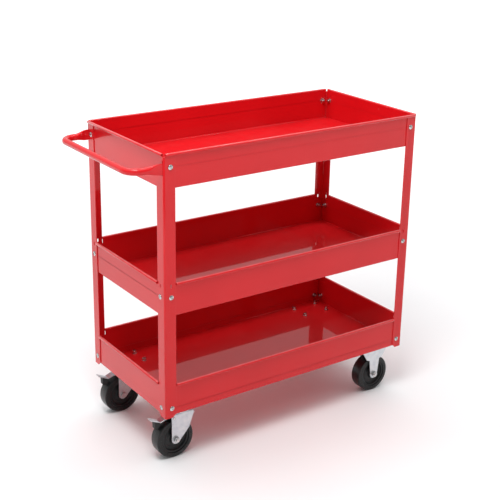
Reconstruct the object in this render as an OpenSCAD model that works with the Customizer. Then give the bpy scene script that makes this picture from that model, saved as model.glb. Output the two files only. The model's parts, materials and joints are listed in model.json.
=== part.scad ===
// Three-tray tool cart: folded sheet trays bolted between four angle legs, a tube push handle,
// two braked swivel casters under the handle end and two rigid casters under the front end.
// Rear is the handle end (-X), front is +X, right is -Y and left is +Y. Z = 0 is the floor.

/* [Frame] */
// Length over the outer faces of the legs
cart_len = 742; // [640:2:840]
// Depth over the outer faces of the legs
cart_depth = 362; // [340:2:420]
// Height of the top tray's rim above the floor
top_rim_z = 776; // [740:1:820]
// Height of the middle tray's rim above the floor
middle_rim_z = 471; // [400:1:520]
// Width of each leg flange
leg_w = 30; // [28:1:36]
// Sheet thickness of the legs
leg_t = 2; // [1.5:0.5:2.5]
// Outside radius of the fold along each leg
leg_fold_r = 4; // [3:0.5:6]
// Height of the legs' feet above the floor
leg_foot_z = 130; // [126:1:134]

/* [Trays] */
// Height of a tray from its underside to the top of its rim
tray_h = 82; // [76:1:88]
// Sheet thickness of the trays
sheet_t = 1.2; // [1:0.1:1.5]
// Outside radius of the fold between floor and wall
fold_r = 3; // [3:0.5:4]
// Outside diameter of the rolled rim
rim_d = 7; // [6:0.5:8]
// Depth of the wall's notch behind each leg on the two lower trays
leg_notch = 16; // [12:1:20]

/* [Handle] */
// Outside diameter of the handle tube
tube_d = 16; // [14:1:18]
// Wall thickness of the handle tube
tube_wall = 1.5; // [1:0.25:2]
// Distance from the legs to the middle of the cross bar
handle_reach = 76; // [70:1:100]
// Height of the handle above the floor
handle_z = 741; // [739:1:743]
// Centre-line radius of the two bends
bend_r = 32; // [24:1:36]
// Height of the flattened ends
tab_h = 26; // [22:1:28]
// Distance from a leg to where the tube begins to flatten
flare_reach = 38; // [20:1:42]

/* [Fasteners] */
// Thread diameter of the tray and plate bolts
bolt_d = 6; // [6:1:6]
// Distance of the tray bolts from the corner of a leg
bolt_inset = 18; // [16:1:19]
// Distance of the top tray's bolts below its rim
top_bolt_drop = 32; // [30:1:34]
// Distance of the middle tray's bolts below its rim
middle_bolt_drop = 34; // [30:1:40]
// Distance of the bottom tray's bolts below its rim
bottom_bolt_drop = 62; // [40:1:64]

/* [Casters] */
// Wheel diameter
wheel_d = 100; // [100:1:100]
// Tread width
wheel_w = 32; // [28:1:32]
// Overall height of each caster, from the floor to the top of its plate
caster_h = 134.5; // [134.5:0.5:136]
// Distance of the caster plates' centres from the middle of the cart, along the cart
caster_x = 304.5; // [280:0.5:310]
// Distance of the caster plates' centres from the middle of the cart, across the cart
caster_y = 134; // [110:1:138]
// Distance of the swivel casters' axles behind their swivel axis
trail = 21; // [20:0.5:22]
// Clear width between the sides of a fork
fork_gap = 34; // [34:0.5:36]
// Angle that a brake pedal travels
brake_travel = 6; // [5:0.5:6]

/* [Hidden] */
$fn = 64;
eps = 0.01;

// Directions
REAR = -1;
FRONT = 1;
RIGHT = -1;
LEFT = 1;

// Colours
paint = "crimson";
zinc = "silver";
bright = "gainsboro";
rubber = "#202022";
plastic = "#2c2c30";
spring_steel = "dimgray";

// Frame
leg_x = cart_len / 2;
leg_y = cart_depth / 2;
tray_x = leg_x - leg_t;
tray_y = leg_y - leg_t;
bottom_rim_z = caster_h + tray_h;
rim_r = rim_d / 2;
rim_out = rim_d - sheet_t;
rim_clear = 0.5;
leg_top_z = top_rim_z - rim_d - rim_clear;
foot_chamfer = 9;
rim_end_gap = 1;

// Openings in the legs
light_slot_w = 4;
light_slot_h = 9;
light_slot_drop = 7;
handle_slit_w = 3.8;
handle_slit_h = 34;
handle_slit_lift = 2;

// Fasteners
hole_play = 0.2;
bolt_hole_r = bolt_d / 2 + hole_play;
head_r = 6;
head_h = 3.4;
dome_r = 9;
recess_len = 6.5;
recess_w = 1.3;
recess_depth = 1.6;
nut_flats = 10;
nut_h = 5;
nut_flange_r = 6.5;
nut_flange_h = 1.2;
nut_play = 0.1;
bolt_tail = 2;
nut_stack = nut_h + nut_flange_h;
hex_head_h = 4;

// Handle
tube_r = tube_d / 2;
tab_t = 2 * tube_wall;
tab_face_y = tray_y - sheet_t;
tube_y = tab_face_y - tube_r;
bar_x = -(leg_x + handle_reach);
tab_reach = 6;
tab_past_bolt = 12;
arm_end_x = -(leg_x + flare_reach);
tab_start_x = -(leg_x + tab_reach);
tab_end_x = -(leg_x - bolt_inset - tab_past_bolt);
tab_corner_r = 6;

// The cart's middle is moved so that the origin is under the middle of its whole length
x_min = bar_x - tube_r;
x_max = tray_x + rim_out;
frame_x = -(x_min + x_max) / 2;

// Caster plates
wheel_r = wheel_d / 2;
plate_len = 98;
plate_w = 70;
plate_t = 2.5;
plate_corner_r = 6;
plate_bolt_x = 39;
plate_bolt_y = 26;
plate_z = caster_h - plate_t;

// Swivel head
fork_t = 2.5;
fork_half = fork_gap / 2 + fork_t;
crown_z = caster_h - 16;
crown_r = 34;
crown_bend_r = 5;
crown_flat_z = crown_z - 7;
race_r = 20;
ball_r = 3;
ball_count = 16;
ball_z = crown_z + 5.5;
race_play = 0.05;
race_lip = 1.5;
race_in_r = 14;
race_out_r = 26;
boss_flare = 3;
king_r = 5;
king_play = 0.06;
king_head_r = 9;
king_head_h = 4;
king_sink = 0.5;
king_end_z = crown_z - 13.5;
king_nut_flats = 16;
king_nut_h = 8;
king_nut_z = crown_z - 11;

// Fork sides
axle_boss_r = 12;
knee = [16, 74];
shoulder = [28, 108];

// Rigid bracket
bracket_top = 46;
bracket_step = [27, 97];
bracket_neck = [17, 93];
bracket_drop = 4;

// Axles and wheels
axle_z = wheel_r;
axle_r = 4;
axle_hole_play = 0.1;
axle_flats = 13;
axle_head_h = 5.3;
axle_nut_h = 6.5;
axle_tail = 2;
sleeve_r = 6;
sleeve_play = 0.1;
sleeve_end_gap = 0.1;
spin_play = 0.05;
core_r = 38.5;
core_rim_in_r = 33;
core_rim_w = wheel_w - 4;
core_boss_r = 12;
core_boss_w = fork_gap - 1.2;
core_taper = 2;
web_in_w = 20;
web_out_w = 16;
tyre_fit = 0.05;
tyre_shoulder_r = 5;

// Brake
pivot = [-26, 108];
axle_at = [-trail, axle_z];
pin_r = 2.5;
pin_play = 0.06;
pin_head_r = 4;
pin_head_h = 1.5;
pedal_t = 2.5;
pedal_w = 18;
tab_w = 14;
ear_r = 5;
ear_web = 4;
pedal_root = [-35, 109.5];
pedal_knee = [-58, 101.5];
pedal_tip = [-83, 113];
shoe_w = 12;
shoe_play = 0.3;
shoe_top = [[-56, 100.8], [-58, 100.1], [-73, 107]];
shoe_low = [[-72, 87], [-62, 80], [-54, 84]];
spring_wire_r = 0.6;
spring_mean_r = 4.1;
spring_turns = 5.25;
spring_len = 11;
spring_steps = 16;
spring_sides = 8;
spring_start = 270;
spring_reach = 13;
spring_rise = crown_z - fork_t - pivot[1] - 1;

// ---------------------------------------------------------------- helpers

// Moves the cart so that its origin is under the middle of its length
module place() translate([frame_x, 0, 0]) children();

// Puts a corner's own frame at one leg: its +X and +Y run inward along the two flanges
module at_corner(end, side) {
    place() translate([end * leg_x, side * leg_y, 0])
        mirror([end > 0 ? 1 : 0, 0, 0]) mirror([0, side > 0 ? 1 : 0, 0]) children();
}

// Points +Z inward through a side flange or an end flange of the corner's own frame
module through_side(z) translate([bolt_inset, 0, z]) rotate([-90, 0, 0]) children();
module through_end(z) translate([0, bolt_inset, z]) rotate([0, 90, 0]) children();

// Puts a caster's own frame on the floor under its plate's centre
module at_caster(end, side) {
    place() translate([end * caster_x, side * caster_y, 0]) children();
}

// Draws an outline in X and Z and extrudes it evenly to both sides of Y = 0
module across(width) rotate([90, 0, 0]) linear_extrude(width, center = true) children();

// A slot with round ends, along Y of the outline
module slot_2d(width, height) {
    square([width, height - width], center = true);
    for (s = [-1, 1]) translate([0, s * (height - width) / 2]) circle(d = width);
}

// A rectangle with round corners
module round_rect(size, r) {
    square([size[0] - 2 * r, size[1]], center = true);
    square([size[0], size[1] - 2 * r], center = true);
    for (x = [-1, 1], y = [-1, 1])
        translate([x * (size[0] / 2 - r), y * (size[1] / 2 - r)]) circle(r);
}

// A strip of constant thickness along a few points, with round joints
module strip_2d(points, thickness) {
    for (i = [0 : len(points) - 2]) {
        run = points[i + 1] - points[i];
        translate(points[i]) rotate(atan2(run[1], run[0]))
            translate([0, -thickness / 2]) square([norm(run), thickness]);
    }
    for (p = points) translate(p) circle(d = thickness);
}

module hex_prism(flats, height) cylinder(h = height, r = flats / 2 / cos(30), $fn = 6);

// ---------------------------------------------------------------- fasteners

// A pan-head screw: the head stands outside Z = 0 and the shank runs along +Z
module pan_bolt(grip) {
    difference() {
        intersection() {
            translate([0, 0, dome_r - head_h]) sphere(dome_r);
            translate([0, 0, -head_h]) cylinder(r = head_r, h = head_h);
        }
        for (a = [0, 90]) rotate(a)
            translate([-recess_len / 2, -recess_w / 2, -head_h - eps])
                cube([recess_len, recess_w, recess_depth]);
    }
    translate([0, 0, -eps]) cylinder(r = bolt_d / 2, h = grip + nut_stack + bolt_tail + eps);
}

// A flanged nut that sits on Z = 0 and rises along +Z
module flange_nut() {
    difference() {
        union() {
            cylinder(r = nut_flange_r, h = nut_flange_h);
            hex_prism(nut_flats, nut_stack);
        }
        translate([0, 0, -1]) cylinder(r = bolt_d / 2 + nut_play, h = nut_stack + 2);
    }
}

// How much metal a tray bolt clamps at a side flange: the handle's tab adds to it
function side_grip(end, holds_handle) =
    leg_t + sheet_t + (holds_handle && end == REAR ? tab_t : 0);

module tray_bolts(z, holds_handle) {
    color(bright) for (end = [REAR, FRONT], side = [RIGHT, LEFT]) at_corner(end, side) {
        through_side(z) pan_bolt(side_grip(end, holds_handle));
        through_end(z) pan_bolt(leg_t + sheet_t);
    }
}

module tray_nuts(z, holds_handle) {
    color(bright) for (end = [REAR, FRONT], side = [RIGHT, LEFT]) at_corner(end, side) {
        through_side(z) translate([0, 0, side_grip(end, holds_handle)]) flange_nut();
        through_end(z) translate([0, 0, leg_t + sheet_t]) flange_nut();
    }
}

module at_plate_bolts() {
    for (x = [-1, 1], y = [-1, 1]) translate([x * plate_bolt_x, y * plate_bolt_y, 0]) children();
}

module plate_bolts(end) {
    color(bright) for (side = [RIGHT, LEFT]) at_caster(end, side) at_plate_bolts() {
        translate([0, 0, plate_z - hex_head_h]) hex_prism(nut_flats, hex_head_h);
        translate([0, 0, plate_z - eps])
            cylinder(r = bolt_d / 2, h = plate_t + sheet_t + nut_stack + bolt_tail);
    }
}

module plate_nuts(end) {
    color(bright) for (side = [RIGHT, LEFT]) at_caster(end, side) at_plate_bolts()
        translate([0, 0, caster_h + sheet_t]) flange_nut();
}

// ---------------------------------------------------------------- trays

// Carries an outline, drawn outward and up from a wall's outer foot, along one side or end
module along_side(side, length) {
    translate([0, side * tray_y, 0]) mirror([0, side < 0 ? 1 : 0, 0])
        rotate([90, 0, 90]) linear_extrude(length, center = true) children();
}

module along_end(end, length) {
    translate([end * tray_x, 0, 0]) mirror([end < 0 ? 1 : 0, 0, 0])
        rotate([90, 0, 0]) linear_extrude(length, center = true) children();
}

module wall_2d(height) {
    translate([-sheet_t, fold_r]) square([sheet_t, height - fold_r]);
    translate([-fold_r, fold_r]) intersection() {
        difference() {
            circle(fold_r);
            circle(fold_r - sheet_t);
        }
        translate([0, -fold_r]) square(fold_r);
    }
}

module rim_2d() {
    translate([rim_r - sheet_t, tray_h - rim_r]) difference() {
        circle(rim_r);
        circle(rim_r - sheet_t);
    }
}

// The top tray's rims run over the legs to the ends of its walls; the others stop between the legs
module tray_shell(runs_over_legs) {
    side_len = 2 * (tray_x - fold_r);
    end_len = 2 * (tray_y - fold_r);
    side_rim = runs_over_legs ? side_len : 2 * (leg_x - leg_w - rim_end_gap);
    end_rim = runs_over_legs ? end_len : 2 * (leg_y - leg_w - rim_end_gap);
    translate([-side_len / 2, -end_len / 2, 0]) cube([side_len, end_len, sheet_t]);
    for (side = [RIGHT, LEFT]) {
        along_side(side, side_len) wall_2d(tray_h - leg_notch);
        along_side(side, side_rim) {
            wall_2d(tray_h - rim_r);
            rim_2d();
        }
    }
    for (end = [REAR, FRONT]) {
        along_end(end, end_len) wall_2d(tray_h - leg_notch);
        along_end(end, end_rim) {
            wall_2d(tray_h - rim_r);
            rim_2d();
        }
    }
}

// Drills a tray's walls for the bolts of all four legs
module tray_bolt_holes(z) {
    for (x = [-1, 1]) translate([x * (leg_x - bolt_inset), 0, z]) rotate([90, 0, 0])
        cylinder(r = bolt_hole_r, h = 3 * cart_depth, center = true);
    for (y = [-1, 1]) translate([0, y * (leg_y - bolt_inset), z]) rotate([0, 90, 0])
        cylinder(r = bolt_hole_r, h = 3 * cart_len, center = true);
}

module top_tray() {
    color(paint) place() difference() {
        translate([0, 0, top_rim_z - tray_h]) tray_shell(true);
        tray_bolt_holes(top_rim_z - top_bolt_drop);
        for (side = [RIGHT, LEFT])
            translate([-tray_x, side * (leg_y - leg_t - sheet_t - handle_slit_w / 2),
                       handle_z + handle_slit_lift])
                cube([4 * sheet_t, handle_slit_w, handle_slit_h], center = true);
    }
}

module middle_tray() {
    color(paint) place() difference() {
        translate([0, 0, middle_rim_z - tray_h]) tray_shell(false);
        tray_bolt_holes(middle_rim_z - middle_bolt_drop);
    }
}

module bottom_tray() {
    color(paint) difference() {
        place() translate([0, 0, bottom_rim_z - tray_h]) tray_shell(false);
        place() tray_bolt_holes(bottom_rim_z - bottom_bolt_drop);
        for (end = [REAR, FRONT], side = [RIGHT, LEFT]) at_caster(end, side) at_plate_bolts()
            translate([0, 0, caster_h - 1]) cylinder(r = bolt_hole_r, h = sheet_t + 2);
    }
}

// ---------------------------------------------------------------- legs and handle

module angle_2d() {
    translate([leg_fold_r, 0]) square([leg_w - leg_fold_r, leg_t]);
    translate([0, leg_fold_r]) square([leg_t, leg_w - leg_fold_r]);
    translate([leg_fold_r, leg_fold_r]) intersection() {
        difference() {
            circle(leg_fold_r);
            circle(leg_fold_r - leg_t);
        }
        translate([-leg_fold_r, -leg_fold_r]) square(leg_fold_r);
    }
}

// Cuts the free lower corner off both flanges
module foot_cuts() {
    cut = foot_chamfer * sqrt(2);
    for (at = [[leg_w, 0], [0, leg_w]]) translate([at[0], at[1], leg_foot_z])
        rotate(at[0] > 0 ? 0 : 90) rotate([0, 45, 0]) cube([cut, 4 * leg_w, cut], center = true);
}

module leg(end, side) {
    color(paint) at_corner(end, side) difference() {
        translate([0, 0, leg_foot_z]) linear_extrude(leg_top_z - leg_foot_z) angle_2d();
        foot_cuts();
        for (z = [top_rim_z - top_bolt_drop, middle_rim_z - middle_bolt_drop,
                  bottom_rim_z - bottom_bolt_drop]) {
            through_side(z) cylinder(r = bolt_hole_r, h = 3 * leg_t, center = true);
            through_end(z) cylinder(r = bolt_hole_r, h = 3 * leg_t, center = true);
        }
        through_side(middle_rim_z - light_slot_drop)
            linear_extrude(3 * leg_t, center = true) slot_2d(light_slot_w, light_slot_h);
        through_end(middle_rim_z - light_slot_drop) rotate(90)
            linear_extrude(3 * leg_t, center = true) slot_2d(light_slot_w, light_slot_h);
        if (end == REAR)
            translate([0, leg_t + sheet_t + handle_slit_w / 2 - 2 * hole_play,
                       handle_z + handle_slit_lift])
                cube([3 * leg_t, handle_slit_w, handle_slit_h], center = true);
    }
}

// The round part of the handle: cross bar, two bends and two short arms
module handle_run(r) {
    bar_half = tube_y - bend_r;
    translate([bar_x, 0, 0]) rotate([90, 0, 0]) cylinder(r = r, h = 2 * bar_half, center = true);
    for (side = [RIGHT, LEFT]) mirror([0, side > 0 ? 1 : 0, 0]) {
        translate([bar_x + bend_r, -bar_half, 0]) rotate(180)
            rotate_extrude(angle = 90) translate([bend_r, 0]) circle(r);
        translate([bar_x + bend_r, -tube_y, 0]) rotate([0, 90, 0])
            cylinder(r = r, h = arm_end_x - bar_x - bend_r);
    }
}

// A flattened end: it swells out of the tube and ends in a flat tab against the tray's wall
module handle_end() {
    tab_y = -tab_face_y + tab_t / 2;
    tab_len = tab_end_x - tab_start_x;
    hull() {
        translate([arm_end_x, -tube_y, 0]) rotate([0, 90, 0]) cylinder(r = tube_r, h = eps, $fn = 32);
        translate([tab_start_x, tab_y, 0]) cube([2 * eps, tab_t, tab_h], center = true);
    }
    translate([tab_start_x + tab_len / 2, tab_y, 0]) rotate([90, 0, 0])
        linear_extrude(tab_t, center = true) {
            round_rect([tab_len, tab_h], tab_corner_r);
            translate([-tab_len / 4, 0]) square([tab_len / 2, tab_h], center = true);
        }
}

module push_handle() {
    color(paint) place() difference() {
        translate([0, 0, handle_z]) {
            difference() {
                handle_run(tube_r);
                handle_run(tube_r - tube_wall);
            }
            handle_end();
            mirror([0, 1, 0]) handle_end();
        }
        translate([-(leg_x - bolt_inset), 0, top_rim_z - top_bolt_drop]) rotate([90, 0, 0])
            cylinder(r = bolt_hole_r, h = 2 * cart_depth, center = true);
    }
}

// ---------------------------------------------------------------- caster heads

module plate_blank() {
    translate([0, 0, plate_z]) linear_extrude(plate_t) difference() {
        round_rect([plate_len, plate_w], plate_corner_r);
        for (x = [-1, 1], y = [-1, 1])
            translate([x * plate_bolt_x, y * plate_bolt_y]) circle(bolt_hole_r);
    }
}

module race_groove() {
    translate([0, 0, ball_z]) rotate_extrude() translate([race_r, 0]) circle(ball_r + race_play);
}

module swivel_plate(side) {
    boss_z = ball_z + race_lip;
    color(zinc) at_caster(REAR, side) difference() {
        union() {
            plate_blank();
            rotate_extrude() polygon([[0, boss_z], [race_out_r, boss_z],
                                      [race_out_r + boss_flare, plate_z + eps], [0, plate_z + eps]]);
        }
        race_groove();
        translate([0, 0, boss_z - 1]) cylinder(r = king_r + king_play, h = caster_h);
        translate([0, 0, caster_h - king_head_h - king_sink])
            cylinder(r = king_head_r + king_sink, h = king_head_h + 1);
    }
}

module king_bolt(side) {
    head_z = caster_h - king_head_h - king_sink;
    color(bright) at_caster(REAR, side) {
        translate([0, 0, head_z]) cylinder(r = king_head_r, h = king_head_h);
        translate([0, 0, king_end_z]) cylinder(r = king_r, h = head_z - king_end_z + eps);
    }
}

module king_nut(side) {
    color(bright) at_caster(REAR, side) translate([0, 0, king_nut_z]) difference() {
        hex_prism(king_nut_flats, king_nut_h);
        translate([0, 0, -1]) cylinder(r = king_r + king_play, h = king_nut_h + 2);
    }
}

module race_balls(side) {
    color(bright) at_caster(REAR, side) for (i = [0 : ball_count - 1])
        rotate(i * 360 / ball_count) translate([race_r, 0, ball_z]) sphere(ball_r);
}

// ---------------------------------------------------------------- forks

// The bent-down section shared by a fork and a rigid bracket, across the wheel
module channel_2d(top_z) {
    inner_r = crown_bend_r - fork_t;
    difference() {
        union() {
            translate([-fork_half, 0]) square([2 * fork_half, top_z - crown_bend_r]);
            translate([-fork_half + crown_bend_r, 0])
                square([2 * (fork_half - crown_bend_r), top_z]);
            for (s = [-1, 1])
                translate([s * (fork_half - crown_bend_r), top_z - crown_bend_r])
                    circle(crown_bend_r);
        }
        translate([-fork_gap / 2, -1]) square([fork_gap, top_z - crown_bend_r + 1]);
        translate([-fork_gap / 2 + inner_r, -1])
            square([fork_gap - 2 * inner_r, top_z - fork_t + 1]);
        for (s = [-1, 1])
            translate([s * (fork_gap / 2 - inner_r), top_z - crown_bend_r]) circle(inner_r);
    }
}

module channel(top_z, length) {
    rotate([90, 0, 90]) linear_extrude(length, center = true) channel_2d(top_z);
}

// The point where a line from p touches the lower right of the boss round centre c
function boss_tangent(c, p, r) =
    let (d = p - c, a = atan2(d[1], d[0]) - acos(r / norm(d))) c + r * [cos(a), sin(a)];

module fork_side_2d() {
    back = axle_at[0] - axle_boss_r;
    translate(axle_at) circle(axle_boss_r);
    polygon([[back, axle_at[1]], axle_at, boss_tangent(axle_at, knee, axle_boss_r), knee,
             shoulder, [crown_r, crown_flat_z + 2], [crown_r, crown_z + 1],
             [-crown_r, crown_z + 1], [-crown_r, crown_flat_z + 2], [back, shoulder[1]]]);
}

module fork(side) {
    race_h = ball_z - race_lip - crown_z;
    color(zinc) at_caster(REAR, side) difference() {
        union() {
            difference() {
                intersection() {
                    channel(crown_z, 4 * crown_r);
                    across(2 * plate_w) fork_side_2d();
                }
                translate([0, 0, crown_flat_z]) difference() {
                    cylinder(r = 3 * crown_r, h = crown_z);
                    translate([0, 0, -1]) cylinder(r = crown_r, h = crown_z + 2);
                }
            }
            translate([0, 0, crown_z - eps]) rotate_extrude()
                polygon([[race_in_r, 0], [fork_half, 0], [race_out_r, race_h / 2],
                         [race_out_r, race_h + eps], [race_in_r, race_h + eps]]);
        }
        race_groove();
        translate([0, 0, crown_flat_z]) cylinder(r = king_r + king_play, h = crown_z);
        translate([axle_at[0], 0, axle_at[1]]) rotate([90, 0, 0])
            cylinder(r = axle_r + axle_hole_play, h = 2 * plate_w, center = true);
        translate([pivot[0], 0, pivot[1]]) rotate([90, 0, 0])
            cylinder(r = pin_r + pin_play, h = 2 * plate_w, center = true);
    }
}

module bracket_side_2d() {
    c = [0, axle_z];
    neck = boss_tangent(c, bracket_neck, axle_boss_r);
    translate(c) circle(axle_boss_r);
    polygon([c + [-neck[0], neck[1] - c[1]], [-bracket_neck[0], bracket_neck[1]],
             [-bracket_step[0], bracket_step[1]], [-bracket_top, plate_z - bracket_drop],
             [-bracket_top, caster_h], [bracket_top, caster_h], [bracket_top, plate_z - bracket_drop],
             bracket_step, bracket_neck, neck]);
}

module rigid_bracket(side) {
    color(zinc) at_caster(FRONT, side) difference() {
        union() {
            plate_blank();
            intersection() {
                channel(caster_h, 2 * plate_len);
                across(2 * plate_w) bracket_side_2d();
            }
        }
        translate([0, 0, axle_z]) rotate([90, 0, 0])
            cylinder(r = axle_r + axle_hole_play, h = 2 * plate_w, center = true);
    }
}

// ---------------------------------------------------------------- wheels

// Puts a wheel's own frame at its axle, with its spin axis along Y
module at_axle(end, side) {
    at_caster(end, side) translate([end == REAR ? -trail : 0, 0, axle_z]) children();
}

// The nut is on the cart's outer side and the bolt's head on the inner side
module axle_bolt(end, side) {
    color(bright) at_axle(end, side) rotate([-side * 90, 0, 0])
        translate([0, 0, -fork_half - axle_head_h]) {
            hex_prism(axle_flats, axle_head_h);
            translate([0, 0, axle_head_h - eps])
                cylinder(r = axle_r, h = 2 * fork_half + axle_nut_h + axle_tail);
        }
}

module axle_nut(end, side) {
    color(bright) at_axle(end, side) rotate([-side * 90, 0, 0]) translate([0, 0, fork_half])
        difference() {
            hex_prism(axle_flats, axle_nut_h);
            translate([0, 0, -1]) cylinder(r = axle_r + axle_hole_play, h = axle_nut_h + 2);
        }
}

module axle_sleeve(end, side) {
    color(bright) at_axle(end, side) rotate([90, 0, 0])
        linear_extrude(fork_gap - 2 * sleeve_end_gap, center = true) difference() {
            circle(sleeve_r);
            circle(axle_r + sleeve_play);
        }
}

// Half of the core's section, for rotate_extrude: boss, dished web and rim
function core_side(s) = [
    [sleeve_r + spin_play, s * core_boss_w / 2], [core_boss_r, s * core_boss_w / 2],
    [core_boss_r + core_taper, s * web_in_w / 2], [core_rim_in_r - core_taper, s * web_out_w / 2],
    [core_rim_in_r, s * core_rim_w / 2], [core_r - tyre_fit, s * core_rim_w / 2]
];

module wheel_core(end, side) {
    low = core_side(-1);
    high = core_side(1);
    color(plastic) at_axle(end, side) rotate([90, 0, 0]) rotate_extrude($fn = 96)
        polygon(concat(low, [for (i = [len(high) - 1 : -1 : 0]) high[i]]));
}

module tyre(end, side) {
    color(rubber) at_axle(end, side) rotate([90, 0, 0]) rotate_extrude($fn = 96) {
        translate([core_r, -wheel_w / 2])
            square([wheel_r - tyre_shoulder_r - core_r, wheel_w]);
        translate([core_r, -wheel_w / 2 + tyre_shoulder_r])
            square([wheel_r - core_r, wheel_w - 2 * tyre_shoulder_r]);
        for (s = [-1, 1])
            translate([wheel_r - tyre_shoulder_r, s * (wheel_w / 2 - tyre_shoulder_r)])
                circle(tyre_shoulder_r);
    }
}

// ---------------------------------------------------------------- brakes

module ear_2d() {
    difference() {
        union() {
            translate(pivot) circle(ear_r);
            strip_2d([pivot, pedal_root], pedal_t + ear_web);
            strip_2d([pivot, (pedal_root + pedal_knee) / 2], pedal_t);
        }
        translate(pivot) circle(pin_r + pin_play);
    }
}

module brake_pedal(side) {
    color(zinc) at_caster(REAR, side) {
        across(pedal_w) strip_2d([pedal_root, pedal_knee], pedal_t);
        across(tab_w) strip_2d([pedal_knee, pedal_tip], pedal_t);
        for (s = [-1, 1]) translate([0, s * (pedal_w - fork_t) / 2, 0]) across(fork_t) ear_2d();
    }
}

// The shoe's face is hollowed so that it meets the tread when the pedal is down
module brake_shoe(side) {
    color(rubber) at_caster(REAR, side) across(shoe_w) difference() {
        polygon(concat(shoe_top, shoe_low));
        translate(pivot) rotate(-brake_travel) translate(axle_at - pivot)
            circle(wheel_r + shoe_play);
        strip_2d([pedal_root, pedal_knee, pedal_tip], pedal_t + 0.1);
    }
}

module brake_pin(side) {
    color(bright) at_caster(REAR, side) translate([pivot[0], 0, pivot[1]]) rotate([90, 0, 0]) {
        cylinder(r = pin_r, h = 2 * fork_half + 2 * eps, center = true);
        for (s = [-1, 1]) translate([0, 0, s * (fork_half + pin_head_h / 2)])
            cylinder(r = pin_head_r, h = pin_head_h, center = true);
    }
}

// One ring of the spring's wire, at step i along the helix round the Z axis
function coil_ring(i) =
    let (a = spring_start + i * 360 / spring_steps,
         z = spring_len * (i / (spring_turns * spring_steps) - 0.5))
    [for (j = [0 : spring_sides - 1])
        let (b = j * 360 / spring_sides, r = spring_mean_r + spring_wire_r * cos(b))
        [r * cos(a), r * sin(a), z + spring_wire_r * sin(b)]];

module coil() {
    last = spring_turns * spring_steps;
    n = spring_sides;
    points = [for (i = [0 : last]) each coil_ring(i)];
    walls = [for (i = [0 : last - 1], j = [0 : n - 1])
        [i * n + j, i * n + (j + 1) % n, (i + 1) * n + (j + 1) % n, (i + 1) * n + j]];
    caps = [[for (j = [n - 1 : -1 : 0]) j], [for (j = [0 : n - 1]) last * n + j]];
    polyhedron(points, concat(walls, caps));
}

// A return spring round the pin, with one leg under the pedal and one up to the crown
module brake_spring(side) {
    color(spring_steel) at_caster(REAR, side) translate([pivot[0], 0, pivot[1]]) {
        rotate([90, 0, 0]) coil();
        translate([eps, spring_len / 2, -spring_mean_r]) rotate([0, -90, 0])
            cylinder(r = spring_wire_r, h = spring_reach);
        translate([spring_mean_r, -spring_len / 2, -eps])
            cylinder(r = spring_wire_r, h = spring_rise);
    }
}

// ---------------------------------------------------------------- nodes

top_bolt_z = top_rim_z - top_bolt_drop;
middle_bolt_z = middle_rim_z - middle_bolt_drop;
bottom_bolt_z = bottom_rim_z - bottom_bolt_drop;

top_tray();
middle_tray();
bottom_tray();
leg(REAR, RIGHT);  // leg_rear_right
leg(REAR, LEFT);  // leg_rear_left
leg(FRONT, RIGHT);  // leg_front_right
leg(FRONT, LEFT);  // leg_front_left
push_handle();
tray_bolts(top_bolt_z, true);  // top_tray_bolts
tray_nuts(top_bolt_z, true);  // top_tray_nuts
tray_bolts(middle_bolt_z, false);  // middle_tray_bolts
tray_nuts(middle_bolt_z, false);  // middle_tray_nuts
tray_bolts(bottom_bolt_z, false);  // bottom_tray_bolts
tray_nuts(bottom_bolt_z, false);  // bottom_tray_nuts
plate_bolts(REAR);  // swivel_plate_bolts
plate_nuts(REAR);  // swivel_plate_nuts
plate_bolts(FRONT);  // rigid_plate_bolts
plate_nuts(FRONT);  // rigid_plate_nuts
swivel_plate(RIGHT);  // rear_right_swivel_plate
king_bolt(RIGHT);  // rear_right_king_bolt
king_nut(RIGHT);  // rear_right_king_nut
race_balls(RIGHT);  // rear_right_race_balls
fork(RIGHT);  // rear_right_fork
axle_bolt(REAR, RIGHT);  // rear_right_axle_bolt
axle_nut(REAR, RIGHT);  // rear_right_axle_nut
axle_sleeve(REAR, RIGHT);  // rear_right_axle_sleeve
wheel_core(REAR, RIGHT);  // rear_right_wheel_core
tyre(REAR, RIGHT);  // rear_right_tyre
brake_pedal(RIGHT);  // rear_right_brake_pedal
brake_shoe(RIGHT);  // rear_right_brake_shoe
brake_pin(RIGHT);  // rear_right_brake_pin
brake_spring(RIGHT);  // rear_right_brake_spring
swivel_plate(LEFT);  // rear_left_swivel_plate
king_bolt(LEFT);  // rear_left_king_bolt
king_nut(LEFT);  // rear_left_king_nut
race_balls(LEFT);  // rear_left_race_balls
fork(LEFT);  // rear_left_fork
axle_bolt(REAR, LEFT);  // rear_left_axle_bolt
axle_nut(REAR, LEFT);  // rear_left_axle_nut
axle_sleeve(REAR, LEFT);  // rear_left_axle_sleeve
wheel_core(REAR, LEFT);  // rear_left_wheel_core
tyre(REAR, LEFT);  // rear_left_tyre
brake_pedal(LEFT);  // rear_left_brake_pedal
brake_shoe(LEFT);  // rear_left_brake_shoe
brake_pin(LEFT);  // rear_left_brake_pin
brake_spring(LEFT);  // rear_left_brake_spring
rigid_bracket(RIGHT);  // front_right_rigid_bracket
axle_bolt(FRONT, RIGHT);  // front_right_axle_bolt
axle_nut(FRONT, RIGHT);  // front_right_axle_nut
axle_sleeve(FRONT, RIGHT);  // front_right_axle_sleeve
wheel_core(FRONT, RIGHT);  // front_right_wheel_core
tyre(FRONT, RIGHT);  // front_right_tyre
rigid_bracket(LEFT);  // front_left_rigid_bracket
axle_bolt(FRONT, LEFT);  // front_left_axle_bolt
axle_nut(FRONT, LEFT);  // front_left_axle_nut
axle_sleeve(FRONT, LEFT);  // front_left_axle_sleeve
wheel_core(FRONT, LEFT);  // front_left_wheel_core
tyre(FRONT, LEFT);  // front_left_tyre
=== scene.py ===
import json
import math

import bmesh
import bpy
from mathutils import Matrix, Vector


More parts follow.
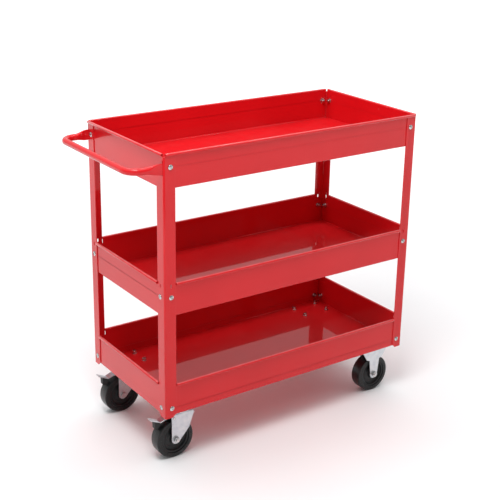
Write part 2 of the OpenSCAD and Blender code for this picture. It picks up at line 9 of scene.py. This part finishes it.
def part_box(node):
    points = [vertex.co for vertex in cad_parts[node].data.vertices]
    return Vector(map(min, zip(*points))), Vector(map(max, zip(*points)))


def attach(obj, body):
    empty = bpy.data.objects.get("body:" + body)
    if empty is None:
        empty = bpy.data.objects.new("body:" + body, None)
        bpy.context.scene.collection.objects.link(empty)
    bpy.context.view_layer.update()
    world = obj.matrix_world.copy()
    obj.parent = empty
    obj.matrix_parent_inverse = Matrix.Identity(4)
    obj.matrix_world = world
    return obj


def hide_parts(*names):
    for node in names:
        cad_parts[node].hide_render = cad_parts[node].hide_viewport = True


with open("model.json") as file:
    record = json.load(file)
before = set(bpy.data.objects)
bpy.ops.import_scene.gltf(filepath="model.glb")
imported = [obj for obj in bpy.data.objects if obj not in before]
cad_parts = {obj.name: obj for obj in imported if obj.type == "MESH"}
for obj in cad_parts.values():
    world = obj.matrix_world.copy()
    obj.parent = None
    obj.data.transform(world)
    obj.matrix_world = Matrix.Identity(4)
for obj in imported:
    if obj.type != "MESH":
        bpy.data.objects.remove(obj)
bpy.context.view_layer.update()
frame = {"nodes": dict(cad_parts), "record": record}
record = frame["record"]
nodes = frame["nodes"]
scene = bpy.context.scene

MM = 0.001
REAR_CORNERS = ("rear_right", "rear_left")
FRONT_CORNERS = ("front_right", "front_left")
TRAYS = ("top_tray", "middle_tray", "bottom_tray")


# ---------------------------------------------------------------- camera and light

# The camera that was fitted to the photograph, in metres and degrees; it stands DISTANCE away
# from TARGET and looks at it
AZIMUTH, ELEVATION, ROLL = -35.196, 18.946, 1.085
DISTANCE = 2.6802
TARGET = Vector((0.0284, 0.0, 0.5084))
# Its lens and sensor in millimetres, and how far its picture is shifted, in picture widths
LENS = 75.6504
SENSOR = 36.0
SHIFT_Y = -0.06
# The distances between which it sees, in metres
NEAREST, FARTHEST = 0.05, 60.0

# Brightness of the surroundings in front of the object and behind it, and where it changes,
# as the Y of a direction
ROOM_LIGHT = 0.28
BACKDROP_LIGHT = 0.68
BACKDROP_SPAN = (-0.75, 0.55)
# Extra brightness overhead, which draws the light lines along rims and tube, and where it
# grows, as the Z of a direction
CEILING_LIGHT = 0.75
CEILING_SPAN = (0.6, 0.95)
# Brightness of the surroundings where the camera sees them directly; it is above what they
# light the object with, so that the picture's background is white
SHOWN_LIGHT = 1.0
# Colour of the surroundings, seen or not
ROOM_COLOUR = (0.985, 0.99, 1.0, 1)

# The lamps all point at this place; for each its name, azimuth, elevation, distance, size
# and power, in degrees, metres and watts
LAMP_AIM = Vector((0, 0, 0.4))
LAMPS = (
    ("key", -48, 64, 2.4, (0.9, 0.9), 30),
    ("overhead", 150, 74, 2.4, (2.2, 0.22), 14),
    ("fill", 60, 28, 3.4, (1.4, 2.0), 5),
)


def direction(azimuth, elevation):
    a, e = math.radians(azimuth), math.radians(elevation)
    return Vector((math.sin(a) * math.cos(e), -math.cos(a) * math.cos(e), math.sin(e)))


def add_camera():
    data = bpy.data.cameras.new("camera")
    data.sensor_width = SENSOR
    data.lens = LENS
    data.shift_y = SHIFT_Y
    data.clip_start, data.clip_end = NEAREST, FARTHEST
    camera = bpy.data.objects.new("camera", data)
    scene.collection.objects.link(camera)
    back = direction(AZIMUTH, ELEVATION)
    level = (-back).to_track_quat("-Z", "Y").to_matrix()
    camera.matrix_world = (
        Matrix.Translation(TARGET + back * DISTANCE)
        @ (level @ Matrix.Rotation(math.radians(ROLL), 3, "Z")).to_4x4()
    )
    scene.camera = camera


def add_area(name, azimuth, elevation, distance, size, power):
    data = bpy.data.lights.new(name, "AREA")
    data.shape = "RECTANGLE"
    data.size, data.size_y = size
    data.energy = power
    lamp = bpy.data.objects.new(name, data)
    scene.collection.objects.link(lamp)
    out = direction(azimuth, elevation)
    lamp.location = LAMP_AIM + out * distance
    lamp.rotation_mode = "QUATERNION"
    lamp.rotation_quaternion = (-out).to_track_quat("-Z", "Y")


def smooth_step(tree, value, span, low, high):
    """A node's output that goes smoothly from low to high while the value crosses the span."""
    n = tree.nodes.new("ShaderNodeMapRange")
    n.interpolation_type = "SMOOTHSTEP"
    tree.links.new(value, n.inputs["Value"])
    n.inputs["From Min"].default_value, n.inputs["From Max"].default_value = span
    n.inputs["To Min"].default_value = low
    n.inputs["To Max"].default_value = high
    return n.outputs["Result"]


def add_studio():
    """A pale room, brighter behind the object (+Y) and overhead, and the lamps."""
    world = bpy.data.worlds.new("studio")
    world.use_nodes = True
    scene.world = world
    tree = world.node_tree
    coords = tree.nodes.new("ShaderNodeTexCoord")
    split = tree.nodes.new("ShaderNodeSeparateXYZ")
    tree.links.new(coords.outputs["Generated"], split.inputs["Vector"])
    room = smooth_step(tree, split.outputs["Y"], BACKDROP_SPAN, ROOM_LIGHT, BACKDROP_LIGHT)
    ceiling = smooth_step(tree, split.outputs["Z"], CEILING_SPAN, 0.0, CEILING_LIGHT)
    total = tree.nodes.new("ShaderNodeMath")
    total.operation = "ADD"
    tree.links.new(room, total.inputs[0])
    tree.links.new(ceiling, total.inputs[1])
    shown = tree.nodes.new("ShaderNodeMix")
    seen = tree.nodes.new("ShaderNodeLightPath").outputs["Is Camera Ray"]
    tree.links.new(seen, shown.inputs["Factor"])
    tree.links.new(total.outputs["Value"], shown.inputs["A"])
    shown.inputs["B"].default_value = SHOWN_LIGHT
    back = tree.nodes["Background"]
    tree.links.new(shown.outputs["Result"], back.inputs["Strength"])
    back.inputs["Color"].default_value = ROOM_COLOUR
    for lamp in LAMPS:
        add_area(*lamp)


# ---------------------------------------------------------------- materials


# The places of a mix node's two colours among its inputs, and of its colour among its outputs
MIX_FIRST, MIX_SECOND, MIX_RESULT = 6, 7, 2


class Nodes:
    """A short way to write a material's node tree. Colours are linear red, green and blue."""

    def __init__(self, name):
        self.material = bpy.data.materials.new(name)
        self.material.use_nodes = True
        self.tree = self.material.node_tree
        self.shader = self.tree.nodes["Principled BSDF"]
        self.coords = self.tree.nodes.new("ShaderNodeTexCoord").outputs["Object"]

    def add(self, kind, **settings):
        n = self.tree.nodes.new(kind)
        for key, value in settings.items():
            setattr(n, key, value)
        return n

    def link(self, out, socket):
        self.tree.links.new(out, socket)

    def put(self, socket, value):
        """Feeds a socket from another one, or sets it to a colour or a number."""
        if isinstance(value, bpy.types.NodeSocket):
            self.link(value, socket)
        elif isinstance(value, tuple):
            socket.default_value = (*value, 1)
        else:
            socket.default_value = value

    def stretched(self, scale):
        """Coordinates scaled by another amount along each axis, which draws noise out into lines."""
        m = self.add("ShaderNodeMapping")
        self.link(self.coords, m.inputs["Vector"])
        m.inputs["Scale"].default_value = scale
        return m.outputs["Vector"]

    def noise(self, scale, detail=3.0, roughness=0.5, vector=None, distortion=0.0):
        n = self.add("ShaderNodeTexNoise")
        self.link(vector or self.coords, n.inputs["Vector"])
        n.inputs["Scale"].default_value = scale
        n.inputs["Detail"].default_value = detail
        n.inputs["Roughness"].default_value = roughness
        n.inputs["Distortion"].default_value = distortion
        return n.outputs["Fac"]

    def cells(self, scale):
        """The distance to the nearest of many scattered points."""
        n = self.add("ShaderNodeTexVoronoi")
        self.link(self.coords, n.inputs["Vector"])
        n.inputs["Scale"].default_value = scale
        return n.outputs["Distance"]

    def ramp(self, value, stops):
        n = self.add("ShaderNodeValToRGB")
        self.link(value, n.inputs["Fac"])
        elements = n.color_ramp.elements
        # A new stop may stand anywhere, since its place is set below
        while len(elements) < len(stops):
            elements.new(0.5)
        for e, (at, colour) in zip(elements, stops):
            e.position = at
            e.color = (*colour, 1)
        return n.outputs["Color"]

    def remap(self, value, lo, hi, from_lo=0.0, from_hi=1.0):
        """Carries the range from_lo to from_hi over to lo to hi, and goes no further than its ends."""
        n = self.add("ShaderNodeMapRange")
        self.link(value, n.inputs["Value"])
        n.inputs["From Min"].default_value = from_lo
        n.inputs["From Max"].default_value = from_hi
        n.inputs["To Min"].default_value = lo
        n.inputs["To Max"].default_value = hi
        return n.outputs["Result"]

    def maths(self, operation, a, b=0.0):
        n = self.add("ShaderNodeMath", operation=operation)
        self.put(n.inputs[0], a)
        self.put(n.inputs[1], b)
        return n.outputs["Value"]

    def mix(self, factor, a, b):
        """The colour a where the factor is 0, and b where it is 1."""
        n = self.add("ShaderNodeMix", data_type="RGBA")
        self.put(n.inputs["Factor"], factor)
        self.put(n.inputs[MIX_FIRST], a)
        self.put(n.inputs[MIX_SECOND], b)
        return n.outputs[MIX_RESULT]

    def bump(self, height, distance, strength=1.0, below=None):
        n = self.add("ShaderNodeBump")
        self.link(height, n.inputs["Height"])
        n.inputs["Distance"].default_value = distance
        n.inputs["Strength"].default_value = strength
        if below is not None:
            self.link(below, n.inputs["Normal"])
        return n.outputs["Normal"]

    def facing_up(self, lo=0.6, hi=0.98):
        """1 where the surface faces up, 0 on walls and undersides."""
        g = self.add("ShaderNodeNewGeometry")
        split = self.add("ShaderNodeSeparateXYZ")
        self.link(g.outputs["Normal"], split.inputs["Vector"])
        return self.remap(split.outputs["Z"], 0.0, 1.0, lo, hi)

    def edges(self, radius, lo, hi):
        """0 on flats, and 1 along sharp edges, where a bevelled normal leaves the real one.

        The product of the two normals falls by lo where this starts, and by hi where it is full.
        """
        bevel = self.add("ShaderNodeBevel", samples=4)
        bevel.inputs["Radius"].default_value = radius
        real = self.add("ShaderNodeNewGeometry").outputs["Normal"]
        dot = self.add("ShaderNodeVectorMath", operation="DOT_PRODUCT")
        self.link(bevel.outputs["Normal"], dot.inputs[0])
        self.link(real, dot.inputs[1])
        return self.remap(dot.outputs["Value"], 0.0, 1.0, 1 - lo, 1 - hi)

    def near_heights(self, heights, reach):
        """1 at the given heights above the floor, falling to 0 over reach."""
        split = self.add("ShaderNodeSeparateXYZ")
        self.link(self.coords, split.inputs["Vector"])
        total = 0.0
        for height in heights:
            off = self.maths("ABSOLUTE", self.maths("SUBTRACT", split.outputs["Z"], height))
            total = self.maths("ADD", self.remap(off, 1.0, 0.0, 0.0, reach), total)
        return total

    def finish(self, colour, roughness, normal, metallic=0.0, **constants):
        """Joins everything to the shader, and sets its sockets named in constants."""
        s = self.shader.inputs
        self.link(colour, s["Base Color"])
        self.link(roughness, s["Roughness"])
        self.link(normal, s["Normal"])
        s["Metallic"].default_value = metallic
        if "Coat Weight" in constants:
            self.link(normal, s["Coat Normal"])
        for key, value in constants.items():
            s[key].default_value = value
        return self.material


# The paint's two shades, its darker flecks, the dust that lies on it and the lighter red of its painted
# highlight lines
DEEP_RED = (0.655, 0.0060, 0.0105)
LIGHT_RED = (0.705, 0.0078, 0.0130)
FLECK_RED = (0.45, 0.003, 0.006)
DUSTY_RED = (0.80, 0.42, 0.40)
HIGHLIGHT_RED = (0.86, 0.23, 0.24)
# How far the painted highlight reaches below a rim's top and in from a sharp edge, in metres, and how
# # strong it is along such edges, compared with the rims
RIM_REACH = 0.0022
EDGE_REACH = 0.0011
EDGE_SHARE = 0.55


def painted_highlight_lines(m):
    """Painted highlight lines: lighter paint along the rims' tops, and a little along the sheet's sharp edges
    too.
    """
    patches = m.remap(m.noise(30.0, detail=5.0, roughness=0.6), 0.30, 0.62, 0.35, 0.65)
    rims = m.near_heights([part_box(n)[1][2] for n in TRAYS], RIM_REACH)
    rims = m.maths("MULTIPLY", rims, m.facing_up(lo=0.15, hi=0.75))
    edges = m.maths("MULTIPLY", m.edges(EDGE_REACH, lo=0.03, hi=0.22), EDGE_SHARE)
    return m.maths("MULTIPLY", m.maths("MAXIMUM", rims, edges), patches)


def red_paint():
    """Gloss powder coat on folded sheet: colour drift, orange peel, panel waves, dust, hairlines, and painted
    highlight lines on rims and edges.
    """
    m = Nodes("red_powder_coat")
    drift = m.remap(m.noise(5.0, detail=2.0), 0.0, 1.0, 0.35, 0.65)
    flecks = m.remap(m.noise(1100.0, detail=1.0), 0.0, 0.10, 0.60, 0.78)
    patches = m.remap(m.noise(26.0, detail=5.0, roughness=0.6), 0.006, 0.030, 0.45, 0.75)
    dust = m.maths("MULTIPLY", m.facing_up(), patches)
    colour = m.mix(drift, DEEP_RED, LIGHT_RED)
    colour = m.mix(flecks, colour, FLECK_RED)
    colour = m.mix(dust, colour, DUSTY_RED)
    # Painted highlight: lighter red along the rims' tops and the sheet's sharp edges
    colour = m.mix(painted_highlight_lines(m), colour, HIGHLIGHT_RED)
    hairs = m.noise(1.0, detail=2.0, vector=m.stretched((9.0, 700.0, 700.0)), distortion=0.4)
    hairs = m.remap(hairs, 0.0, 1.0, 0.70, 0.76)
    rough = m.remap(m.noise(12.0, detail=3.0), 0.28, 0.42)
    rough = m.maths("ADD", rough, m.maths("MULTIPLY", dust, 3.0))
    rough = m.maths("ADD", rough, m.maths("MULTIPLY", hairs, 0.1))
    peel = m.bump(m.noise(420.0, detail=2.0), 0.0000035)
    waves = m.bump(m.noise(5.0, detail=1.0), 0.00022, below=peel)
    scratches = m.bump(hairs, 0.000002, 0.5, below=waves)
    paint = {"IOR": 1.45, "Specular IOR Level": 0.12}
    coat = {"Coat Weight": 1.0, "Coat Roughness": 0.04, "Coat IOR": 1.36}
    return m.finish(colour, rough, scratches, **paint, **coat)


def zinc_plate():
    """Bright zinc on pressed steel: soft blotches, drawing lines, pits, yellowish and grimy patches."""
    m = Nodes("bright_zinc")
    blotch = m.noise(70.0, detail=5.0, roughness=0.6)
    yellowed = m.remap(m.noise(22.0, detail=2.0), 0.0, 0.22, 0.52, 0.75)
    grime = m.remap(m.noise(48.0, detail=6.0, roughness=0.7), 0.0, 0.35, 0.58, 0.78)
    shades = [(0.30, (0.53, 0.555, 0.60)), (0.5, (0.63, 0.65, 0.68)), (0.72, (0.71, 0.72, 0.73))]
    colour = m.ramp(blotch, shades)
    colour = m.mix(yellowed, colour, (0.78, 0.76, 0.66))
    colour = m.mix(grime, colour, (0.42, 0.42, 0.42))
    lines = m.noise(1.0, detail=3.0, vector=m.stretched((900.0, 900.0, 40.0)))
    rough = m.maths("ADD", m.remap(blotch, 0.26, 0.42), m.maths("MULTIPLY", lines, 0.08))
    normal = m.bump(lines, 0.000006, below=m.bump(m.cells(700.0), 0.000004))
    return m.finish(colour, rough, normal, metallic=1.0)


def bolt_zinc():
    """Zinc on turned and pressed fasteners: small blotches and a very fine grain."""
    m = Nodes("bolt_zinc")
    blotch = m.noise(260.0, detail=4.0)
    shades = [(0.3, (0.46, 0.46, 0.46)), (0.55, (0.62, 0.62, 0.62)), (0.75, (0.74, 0.73, 0.70))]
    grain = m.bump(m.noise(1500.0, detail=2.0), 0.000004)
    return m.finish(m.ramp(blotch, shades), m.remap(blotch, 0.14, 0.30), grain, metallic=1.0)


def ball_steel():
    """Polished steel under a thin, uneven film of grease."""
    m = Nodes("ball_steel")
    film = m.noise(500.0, detail=3.0)
    colour = m.ramp(film, [(0.3, (0.66, 0.65, 0.62)), (0.7, (0.80, 0.80, 0.80))])
    return m.finish(colour, m.remap(film, 0.06, 0.22), m.bump(film, 0.000002), metallic=1.0)


def tyre_rubber():
    """Hard black rubber with a moulded grain, scuffed and a little dusty."""
    m = Nodes("tyre_rubber")
    scuff = m.noise(90.0, detail=7.0, roughness=0.68)
    dust = m.remap(m.noise(34.0, detail=5.0), 0.0, 0.12, 0.58, 0.8)
    shades = [
        (0.35, (0.0028, 0.0028, 0.0031)),
        (0.6, (0.0055, 0.0055, 0.0058)),
        (0.8, (0.018, 0.0177, 0.0174)),
    ]
    colour = m.mix(dust, m.ramp(scuff, shades), (0.13, 0.125, 0.12))
    normal = m.bump(m.noise(1600.0, detail=2.0), 0.00001, below=m.bump(scuff, 0.00006))
    surface = {"IOR": 1.5, "Specular IOR Level": 0.45}
    return m.finish(colour, m.remap(scuff, 0.20, 0.42), normal, **surface)


def core_plastic():
    """Moulded black plastic with soft flow marks and a fine grain."""
    m = Nodes("core_plastic")
    flow = m.noise(60.0, detail=4.0)
    grain = m.noise(1300.0, detail=2.0)
    colour = m.ramp(flow, [(0.3, (0.005, 0.005, 0.0055)), (0.7, (0.011, 0.011, 0.012))])
    normal = m.bump(grain, 0.000012, below=m.bump(flow, 0.00004))
    surface = {"IOR": 1.49, "Specular IOR Level": 0.4}
    return m.finish(colour, m.remap(grain, 0.30, 0.50), normal, **surface)


def shoe_rubber():
    """Dull black rubber."""
    m = Nodes("shoe_rubber")
    flow = m.noise(150.0, detail=5.0)
    colour = m.ramp(flow, [(0.3, (0.009, 0.009, 0.0095)), (0.75, (0.022, 0.022, 0.022))])
    return m.finish(colour, m.remap(flow, 0.48, 0.72), m.bump(flow, 0.00005))


def spring_steel():
    """Dark spring wire under an uneven film of oil."""
    m = Nodes("spring_steel")
    film = m.noise(300.0, detail=4.0)
    colour = m.ramp(film, [(0.3, (0.20, 0.20, 0.21)), (0.7, (0.42, 0.42, 0.44))])
    return m.finish(colour, m.remap(film, 0.24, 0.45), m.bump(film, 0.00001), metallic=1.0)


# The material of each slot
materials = {
    "red_paint": red_paint(),
    "zinc_plate": zinc_plate(),
    "bolt_zinc": bolt_zinc(),
    "ball_steel": ball_steel(),
    "tyre_rubber": tyre_rubber(),
    "core_plastic": core_plastic(),
    "shoe_rubber": shoe_rubber(),
    "spring_steel": spring_steel(),
}


# ---------------------------------------------------------------- CAD pieces


# How far the sharp edges of each slot's CAD pieces are rounded, in metres
EDGE_WIDTH = {"red_paint": 0.0004, "zinc_plate": 0.00035, "bolt_zinc": 0.00025, "shoe_rubber": 0.0008}
EDGE_SEGMENTS = 2
# Points nearer to each other than this, in metres, are joined before the rounding
WELD_REACH = 2e-6
# An edge is sharp where its faces turn by more than this many degrees
SHARP_EDGE = 40


def dress_cad_nodes():
    """Gives every CAD node its slot's material, and rounds the edges of the slots in EDGE_WIDTH."""
    slots = {s["node"]: s["material_slot"] for s in record["subparts"]}
    for name, obj in nodes.items():
        slot = slots[name]
        obj.data.materials.clear()
        obj.data.materials.append(materials[slot])
        if slot in EDGE_WIDTH:
            weld = obj.modifiers.new("weld", "WELD")
            weld.merge_threshold = WELD_REACH
            bevel = obj.modifiers.new("edge", "BEVEL")
            bevel.width = EDGE_WIDTH[slot]
            bevel.segments = EDGE_SEGMENTS
            bevel.limit_method = "ANGLE"
            bevel.angle_limit = math.radians(SHARP_EDGE)
            bevel.harden_normals = True


# ---------------------------------------------------------------- pieces made here, in millimetres


def add_piece(name, verts, faces, look, body, replaced, sharp=38.0):
    """Makes a piece, and puts it on its body in place of the CAD node that it stands for.

    Its edges stay sharp in the shading where they turn by more than sharp degrees.
    """
    mesh = bpy.data.meshes.new(name)
    mesh.from_pydata([Vector(v) * MM for v in verts], [], faces)
    b = bmesh.new()
    b.from_mesh(mesh)
    bmesh.ops.recalc_face_normals(b, faces=b.faces)
    b.to_mesh(mesh)
    b.free()
    mesh.shade_smooth()
    mesh.set_sharp_from_angle(angle=math.radians(sharp))
    mesh.materials.append(materials[look])
    piece = bpy.data.objects.new(name, mesh)
    scene.collection.objects.link(piece)
    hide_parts(replaced)
    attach(piece, body)


def node_middle(node):
    """The middle of a CAD node's box."""
    lo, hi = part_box(node)
    return (Vector(lo) + Vector(hi)) / 2 / MM


# An outline's corner becomes an arc of this many steps, which takes up at most this share of
# either side. It stays as it is if the arc would start nearer to it than this, or if half of
# its angle is above this many radians, so that it is nearly straight.
ARC_STEPS = 5
ARC_SHARE = 0.48
LEAST_REACH = 0.01
STRAIGHT = 1.55


def rounded(corners):
    """A closed outline in which each corner (x, y, radius) becomes an arc."""
    out = []
    for i, (x, y, radius) in enumerate(corners):
        p = Vector((x, y))
        before = Vector(corners[i - 1][:2]) - p
        after = Vector(corners[(i + 1) % len(corners)][:2]) - p
        u, v = before.normalized(), after.normalized()
        half = u.angle(v) / 2
        reach = min(radius / math.tan(half), ARC_SHARE * before.length, ARC_SHARE * after.length)
        if reach < LEAST_REACH or half > STRAIGHT:
            out.append((x, y))
            continue
        r = reach * math.tan(half)
        centre = p + (u + v).normalized() * (r / math.sin(half))
        start, end = p + u * reach - centre, p + v * reach - centre
        a0 = math.atan2(start.y, start.x)
        turn = (math.atan2(end.y, end.x) - a0 + math.pi) % (2 * math.pi) - math.pi
        for k in range(ARC_STEPS + 1):
            a = a0 + turn * k / ARC_STEPS
            out.append((centre.x + r * math.cos(a), centre.y + r * math.sin(a)))
    return out


def band(first, second, n):
    """The faces between two rings of n points, given the places of the rings' first points."""
    return [(first + j, first + (j + 1) % n, second + (j + 1) % n, second + j) for j in range(n)]


def lathe(outline, centre, count=160):
    """Turns a closed outline of (radius, y) round an axis along Y, in count steps."""
    n = len(outline)
    verts, faces = [], []
    for i in range(count):
        a = 2 * math.pi * i / count
        verts += [centre + Vector((r * math.cos(a), y, r * math.sin(a))) for r, y in outline]
        faces += band(i * n, (i + 1) % count * n, n)
    return verts, faces


def loft(rings):
    """Skins a row of rings that all have the same number of points, and closes both ends."""
    n = len(rings[0])
    verts = [v for ring in rings for v in ring]
    faces = [tuple(range(n)), tuple(range(len(verts) - n, len(verts)))]
    for i in range(len(rings) - 1):
        faces += band(i * n, (i + 1) * n, n)
    return verts, faces


def mirrored(half):
    """A whole outline of (radius, y, corner) from the half on the +Y side, listed from the middle out."""
    return half + [(r, -y, c) for r, y, c in reversed(half)]


# The tread's radius beside its parting line, and how far the sidewall and its ridges stand out
# from the wheel's middle plane
TREAD = 49.86
SIDEWALL = 15.65
RIDGE = 15.95
# A ridge's outline: each point's distance in from the ridge's outer radius, and how far it stands out
RIDGE_POINTS = ((0.0, SIDEWALL), (0.16, RIDGE), (0.6, RIDGE), (0.76, SIDEWALL))
RIDGE_RADII = (44.6, 43.1, 41.6)

# Half sections of the tyre and the core: radius, distance from the middle plane, corner radius
TYRE_HALF = (
    [(50.0, 0.4, 0.1), (TREAD, 0.7, 0.2), (TREAD, SIDEWALL, 4.7)]
    + [(outer - step, y, 0.12) for outer in RIDGE_RADII for step, y in RIDGE_POINTS]
    + [(40.2, SIDEWALL, 0.2), (39.9, 16.0, 0.3), (38.5, 16.0, 0.3)]
)
CORE_HALF = [
    (38.45, 14.0, 0.6), (33.0, 14.0, 1.2), (31.2, 8.3, 2.4), (25.6, 8.7, 0.5), (25.2, 9.5, 0.4),
    (23.0, 9.6, 0.4), (22.6, 9.0, 0.5), (14.4, 9.9, 1.8), (12.2, 16.4, 1.2), (6.05, 16.4, 0.4),
]


def add_wheels():
    for corner in REAR_CORNERS + FRONT_CORNERS:
        centre = node_middle(f"{corner}_tyre")
        tyre = lathe(rounded(mirrored(TYRE_HALF)), centre)
        add_piece(f"{corner}_tyre_moulded", *tyre, "tyre_rubber", f"{corner}_wheel", f"{corner}_tyre")
        core = lathe(rounded(mirrored(CORE_HALF)), centre)
        add_piece(f"{corner}_core_moulded", *core, "core_plastic", f"{corner}_wheel", f"{corner}_wheel_core")


# The push handle: tube and bend radius, the flat tab's half thickness and half height, the
# rounding of the tab's edges and of its corners at the tip
TUBE_R = 8.0
BEND_R = 32.0
TAB_HALF_T = 1.5
TAB_HALF_H = 13.0
TAB_EDGE = 1.2
TAB_CORNER = 6.0
# Where the tube starts to widen and where it is flat, measured from the cross bar's middle line
FLARE_START, FLARE_END = 38.0, 70.0
# The flat tab has one ring this far in from its tip, and one this far before the flare
TIP_GAP = 14.0
FLARE_GAP = 2.0
# Steps in the tip's corners, in the flare and the bend, and in a quarter of the tube's section
TIP_STEPS = 8
ARM_STEPS = 24
QUARTER_STEPS = 10


def ring_section(point, tangent, half_w, half_h, corner):
    """A rounded rectangle square to a level tangent: half_w to the side and half_h up."""
    side = Vector((-tangent.y, tangent.x, 0.0))
    out = []
    for quarter, (sx, sz) in enumerate(((1, 1), (-1, 1), (-1, -1), (1, -1))):
        for k in range(QUARTER_STEPS):
            a = math.radians(90 * (quarter + (k + 0.5) / QUARTER_STEPS))
            w = sx * (half_w - corner) + corner * math.cos(a)
            h = sz * (half_h - corner) + corner * math.sin(a)
            out.append(point + side * w + Vector((0, 0, h)))
    return out


def arm_stations(tab_x, bar_x):
    """Stations from the left tab's tip back to the bend: x, how flat the tube is, half height.

    The half height is None in the flare, where it follows from how flat the tube is.
    """
    stations = []
    for k in range(TIP_STEPS + 1):
        d = TAB_CORNER * (1 - math.cos(math.radians(90 * k / TIP_STEPS)))
        height = TAB_HALF_H - TAB_CORNER + math.sqrt(max(0.0, TAB_CORNER**2 - (TAB_CORNER - d) ** 2))
        stations.append((tab_x - d, 1.0, height))
    flare_from, flare_to = bar_x + FLARE_START, bar_x + FLARE_END
    for x in (tab_x - TIP_GAP, flare_to + FLARE_GAP):
        stations.append((x, 1.0, TAB_HALF_H))
    for k in range(ARM_STEPS + 1):
        t = 1 - k / ARM_STEPS
        stations.append((flare_from + (flare_to - flare_from) * t, t * t * (3 - 2 * t), None))
    return stations


def add_handle():
    """One tube, flattened into a tab at each end and bent twice into a U."""
    lo, hi = (Vector(v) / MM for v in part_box("push_handle"))
    bar_x = lo.x + TUBE_R
    tube_y = hi.y - TUBE_R
    z = (lo.z + hi.z) / 2
    arm = []
    for x, flat, height in arm_stations(hi.x, bar_x):
        half_w = TUBE_R + (TAB_HALF_T - TUBE_R) * flat
        half_h = height if height is not None else TUBE_R + (TAB_HALF_H - TUBE_R) * flat
        corner = min(half_w, half_h, TUBE_R + (TAB_EDGE - TUBE_R) * flat)
        point = Vector((x, tube_y + (TUBE_R - TAB_HALF_T) * flat, z))
        arm.append(ring_section(point, Vector((-1, 0, 0)), half_w, half_h, corner))
    arm_start = bar_x + BEND_R
    for k in range(ARM_STEPS + 1):
        a = math.radians(90 * k / ARM_STEPS)
        point = Vector((arm_start - BEND_R * math.sin(a), tube_y - BEND_R * (1 - math.cos(a)), z))
        tangent = Vector((-math.cos(a), -math.sin(a), 0))
        arm.append(ring_section(point, tangent, TUBE_R, TUBE_R, TUBE_R))
    # The right half is the left half mirrored and run the other way. Both have their sideways
    # direction along +X where they meet, so their rings join point by point.
    other = [[Vector((v.x, -v.y, v.z)) for v in ring] for ring in reversed(arm)]
    verts, faces = loft(arm + other)
    add_piece("push_handle_tube", verts, faces, "red_paint", "frame", "push_handle", 50.0)


# The brake's spring: coil and wire radius, turns, and length along the pin
SPRING_R = 4.1
WIRE_R = 0.6
SPRING_TURNS = 5.25
SPRING_LEN = 11.0
# The level leg's length and the spacing of its points, and the heights of the upright leg's points
LEVEL_LEG, LEG_STEP = 13, 3
UPRIGHT_LEG = (1.5, 4.0, 7.0)
# Steps in one turn of the coil, and sides of the wire
COIL_STEPS = 40
WIRE_SIDES = 12


def spring_path():
    """The wire's middle line, measured from the pin's middle: level leg, coil, upright leg."""
    path = [Vector((k - LEVEL_LEG, SPRING_LEN / 2, -SPRING_R)) for k in range(0, LEVEL_LEG, LEG_STEP)]
    steps = int(SPRING_TURNS * COIL_STEPS)
    # The coil starts at its lowest point, where the level leg ends
    for k in range(steps + 1):
        a = math.radians(270 + 360 * SPRING_TURNS * k / steps)
        path.append(Vector((SPRING_R * math.cos(a), SPRING_LEN * (0.5 - k / steps), SPRING_R * math.sin(a))))
    return path + [Vector((SPRING_R, -SPRING_LEN / 2, h)) for h in UPRIGHT_LEG]


def wire_rings(path, origin):
    """Rings of points round a path that is measured from the origin, without a twist between them."""
    rings = []
    normal = Vector((0, 1, 0))
    for k, p in enumerate(path):
        along = (path[min(k + 1, len(path) - 1)] - path[max(k - 1, 0)]).normalized()
        normal = (normal - along * normal.dot(along)).normalized()
        other = along.cross(normal)
        angles = [2 * math.pi * j / WIRE_SIDES for j in range(WIRE_SIDES)]
        rings.append([origin + p + (normal * math.cos(a) + other * math.sin(a)) * WIRE_R for a in angles])
    return rings


def add_springs():
    for corner in REAR_CORNERS:
        wire = loft(wire_rings(spring_path(), node_middle(f"{corner}_brake_pin")))
        add_piece(f"{corner}_brake_coil", *wire, "spring_steel", f"{corner}_swivel", f"{corner}_brake_spring")


# ---------------------------------------------------------------- floor, in metres

# Half the floor's width, and the cells along each of its sides
FLOOR_HALF = 14.0
FLOOR_CELLS = 24
# The floor lies this far below the wheels, so that the two surfaces never coincide
FLOOR_DROP = 0.0005
# How much the floor glows far away, and the distances between which the glow grows
FAR_GLOW = 0.62
GLOW_SPAN = (1.2, 3.8)


def floor_paint():
    """A pale floor that glows towards the distance, so that it runs into the white surroundings."""
    m = Nodes("pale_floor")
    cloud = m.noise(1.3, detail=3.0)
    colour = m.ramp(cloud, [(0.3, (0.90, 0.905, 0.91)), (0.7, (0.935, 0.935, 0.935))])
    out = m.add("ShaderNodeVectorMath", operation="LENGTH")
    m.link(m.coords, out.inputs[0])
    far = m.remap(out.outputs["Value"], 0.0, FAR_GLOW, *GLOW_SPAN)
    m.link(far, m.shader.inputs["Emission Strength"])
    m.shader.inputs["Emission Color"].default_value = (1, 1, 1, 1)
    return m.finish(colour, m.remap(cloud, 0.55, 0.7), m.bump(m.noise(240.0), 0.00003))


def add_floor():
    mesh = bpy.data.meshes.new("floor")
    b = bmesh.new()
    bmesh.ops.create_grid(b, x_segments=FLOOR_CELLS, y_segments=FLOOR_CELLS, size=FLOOR_HALF)
    b.to_mesh(mesh)
    b.free()
    mesh.materials.append(floor_paint())
    floor = bpy.data.objects.new("floor", mesh)
    floor.location.z = -FLOOR_DROP
    scene.collection.objects.link(floor)


scene.view_settings.view_transform = "Standard"
dress_cad_nodes()
add_wheels()
add_handle()
add_springs()
add_floor()
add_studio()
add_camera()
